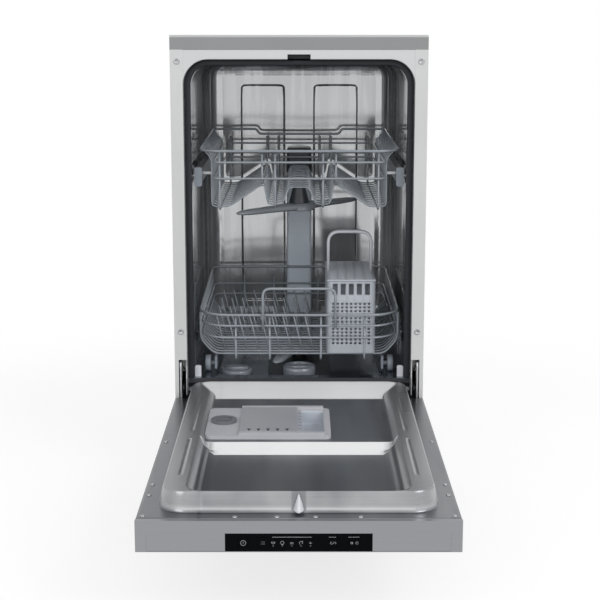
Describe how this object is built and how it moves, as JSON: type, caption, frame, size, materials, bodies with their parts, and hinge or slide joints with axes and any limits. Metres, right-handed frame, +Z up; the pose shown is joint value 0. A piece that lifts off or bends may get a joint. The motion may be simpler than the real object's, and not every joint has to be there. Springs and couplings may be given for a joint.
{
  "type": "built-in dishwasher",
  "caption": "Slim fully integrated dishwasher with its door open, two wire baskets that roll out, spray arms, dispenser and edge-mounted controls.",
  "frame": {"origin": "on the floor, in the middle of the open machine's footprint", "axes": "+Z up, the front faces -Y, +X is to the right of someone facing the machine"},
  "size_m": [0.448, 1.105, 0.815],
  "materials": {
    "grey_enamel": "satin grey enamel",
    "top_enamel": "dark grey enamel",
    "stainless": "polished stainless sheet",
    "door_stainless": "brushed stainless sheet",
    "zinc_steel": "zinc plated",
    "grey_plastic": "moulded",
    "light_plastic": "moulded",
    "white_plastic": "moulded",
    "black_plastic": "moulded",
    "black_gloss": "gloss",
    "coated_wire": "nylon coated wire",
    "rubber": "matt",
    "fascia_steel": "brushed",
    "circuit_green": "lacquered board",
    "strainer_steel": "perforated look"
  },
  "bodies": {
    "cabinet": {"side_panel_left": "grey_enamel", "side_panel_right": "grey_enamel", "rear_panel": "grey_enamel", "top_cover": "top_enamel", "top_front_rail": "top_enamel", "base_tray": "black_plastic", "kick_plate": "black_plastic", "levelling_feet": "black_plastic", "strip_screws": "zinc_steel", "tub_wrapper": "stainless", "tub_back": "stainless", "tub_floor": "stainless", "tub_gasket": "rubber", "sill_seal": "rubber", "seal_end_blocks": "white_plastic", "latch_housing": "black_plastic", "water_duct": "grey_plastic", "sump": "black_plastic", "filter_plate": "strainer_steel", "water_softener": "black_plastic", "circulation_pump": "black_plastic", "drain_pump": "black_plastic", "inlet_valve": "black_plastic", "drain_outlet": "grey_plastic", "mains_gland": "black_plastic", "air_break_chamber": "white_plastic", "hinge_brackets": "zinc_steel", "door_springs": "zinc_steel", "roller_brackets": "zinc_steel"},
    "door": {"door_liner": "door_stainless", "door_outer": "grey_enamel", "door_striker": "white_plastic", "hinge_arms": "zinc_steel", "control_fascia": "fascia_steel", "control_window": "black_gloss", "control_board": "circuit_green", "dispenser_body": "light_plastic"},
    "upper_rack": {"upper_basket": "coated_wire", "upper_rails": "zinc_steel", "rail_end_caps": "grey_plastic", "feed_pipe": "grey_plastic"},
    "lower_rack": {"lower_basket": "coated_wire", "plate_tines": "coated_wire", "wheel_carriers": "light_plastic"},
    "cutlery": {"cutlery_basket": "light_plastic", "cutlery_lid": "light_plastic"},
    "upper_arm": {"upper_spray_arm": "grey_plastic"},
    "lower_arm": {"lower_spray_arm": "grey_plastic"},
    "front_wheels": {"wheels_front": "light_plastic"},
    "rear_wheels": {"wheels_rear": "light_plastic"},
    "front_rollers": {"rollers_front": "light_plastic"},
    "rear_rollers": {"rollers_rear": "light_plastic"},
    "filter": {"coarse_filter": "grey_plastic"},
    "salt_lid": {"salt_cap": "white_plastic"},
    "tablet_lid": {"detergent_lid": "light_plastic"},
    "rinse_cap": {"rinse_aid_cap": "light_plastic"},
    "power_key": {"power_button": "black_gloss"},
    "programme_key": {"programme_button": "black_gloss"},
    "extra_key": {"extra_button": "black_gloss"},
    "start_key": {"start_button": "black_gloss"}
  },
  "joints": [
    {"name": "door_hinge", "type": "hinge", "parent": "cabinet", "child": "door", "pos_m": [0, 0.0625, 0.183], "axis": [-1, 0, 0], "range_deg": [0, 90], "deforming": ["door_springs"]},
    {"name": "upper_rack_slide", "type": "slide", "parent": "cabinet", "child": "upper_rack", "axis": [0, 1, 0], "range_m": [-0.31, 0]},
    {"name": "lower_rack_slide", "type": "slide", "parent": "cabinet", "child": "lower_rack", "axis": [0, 1, 0], "range_m": [-0.43, 0]},
    {"name": "cutlery_lift", "type": "slide", "parent": "lower_rack", "child": "cutlery", "axis": [0, 0, 1], "range_m": [0, 0.02]},
    {"name": "upper_arm_spin", "type": "hinge", "parent": "upper_rack", "child": "upper_arm", "pos_m": [0, 0.2925, 0.485], "axis": [0, 0, 1], "continuous": true},
    {"name": "lower_arm_spin", "type": "hinge", "parent": "cabinet", "child": "lower_arm", "pos_m": [0, 0.2925, 0.211], "axis": [0, 0, 1], "continuous": true},
    {"name": "front_wheel_roll", "type": "hinge", "parent": "lower_rack", "child": "front_wheels", "pos_m": [0, 0.1325, 0.2123], "axis": [1, 0, 0], "range_deg": [0, 1650]},
    {"name": "rear_wheel_roll", "type": "hinge", "parent": "lower_rack", "child": "rear_wheels", "pos_m": [0, 0.4445, 0.2123], "axis": [1, 0, 0], "range_deg": [0, 1650]},
    {"name": "front_roller_turn", "type": "hinge", "parent": "cabinet", "child": "front_rollers", "pos_m": [0, 0.1085, 0.565], "axis": [1, 0, 0], "range_deg": [0, 1665]},
    {"name": "rear_roller_turn", "type": "hinge", "parent": "cabinet", "child": "rear_rollers", "pos_m": [0, 0.1565, 0.565], "axis": [1, 0, 0], "range_deg": [0, 1665]},
    {"name": "filter_turn", "type": "hinge", "parent": "cabinet", "child": "filter", "pos_m": [0, 0.1575, 0.15], "axis": [0, 0, 1], "range_deg": [0, 45]},
    {"name": "salt_cap_turn", "type": "hinge", "parent": "cabinet", "child": "salt_lid", "pos_m": [-0.118, 0.1605, 0.19], "axis": [0, 0, 1], "range_deg": [0, 180]},
    {"name": "detergent_lid_slide", "type": "slide", "parent": "door", "child": "tablet_lid", "axis": [1, 0, 0], "range_m": [0, 0.048]},
    {"name": "rinse_cap_turn", "type": "hinge", "parent": "door", "child": "rinse_cap", "pos_m": [-0.123, -0.1705, 0.192], "axis": [0, 0, 1], "range_deg": [0, 90]},
    {"name": "power_press", "type": "slide", "parent": "door", "child": "power_key", "axis": [0, 1, 0], "range_m": [0, 0.0012], "stiffness_N_per_m": 600},
    {"name": "programme_press", "type": "slide", "parent": "door", "child": "programme_key", "axis": [0, 1, 0], "range_m": [0, 0.0012], "stiffness_N_per_m": 600},
    {"name": "extra_press", "type": "slide", "parent": "door", "child": "extra_key", "axis": [0, 1, 0], "range_m": [0, 0.0012], "stiffness_N_per_m": 600},
    {"name": "start_press", "type": "slide", "parent": "door", "child": "start_key", "axis": [0, 1, 0], "range_m": [0, 0.0012], "stiffness_N_per_m": 600}
  ],
  "couplings": [
    {"joint": "front_wheel_roll", "follows": "lower_rack_slide", "rad_per_m": -66.667},
    {"joint": "rear_wheel_roll", "follows": "lower_rack_slide", "rad_per_m": -66.667},
    {"joint": "front_roller_turn", "follows": "upper_rack_slide", "rad_per_m": -93.458},
    {"joint": "rear_roller_turn", "follows": "upper_rack_slide", "rad_per_m": -93.458}
  ]
}
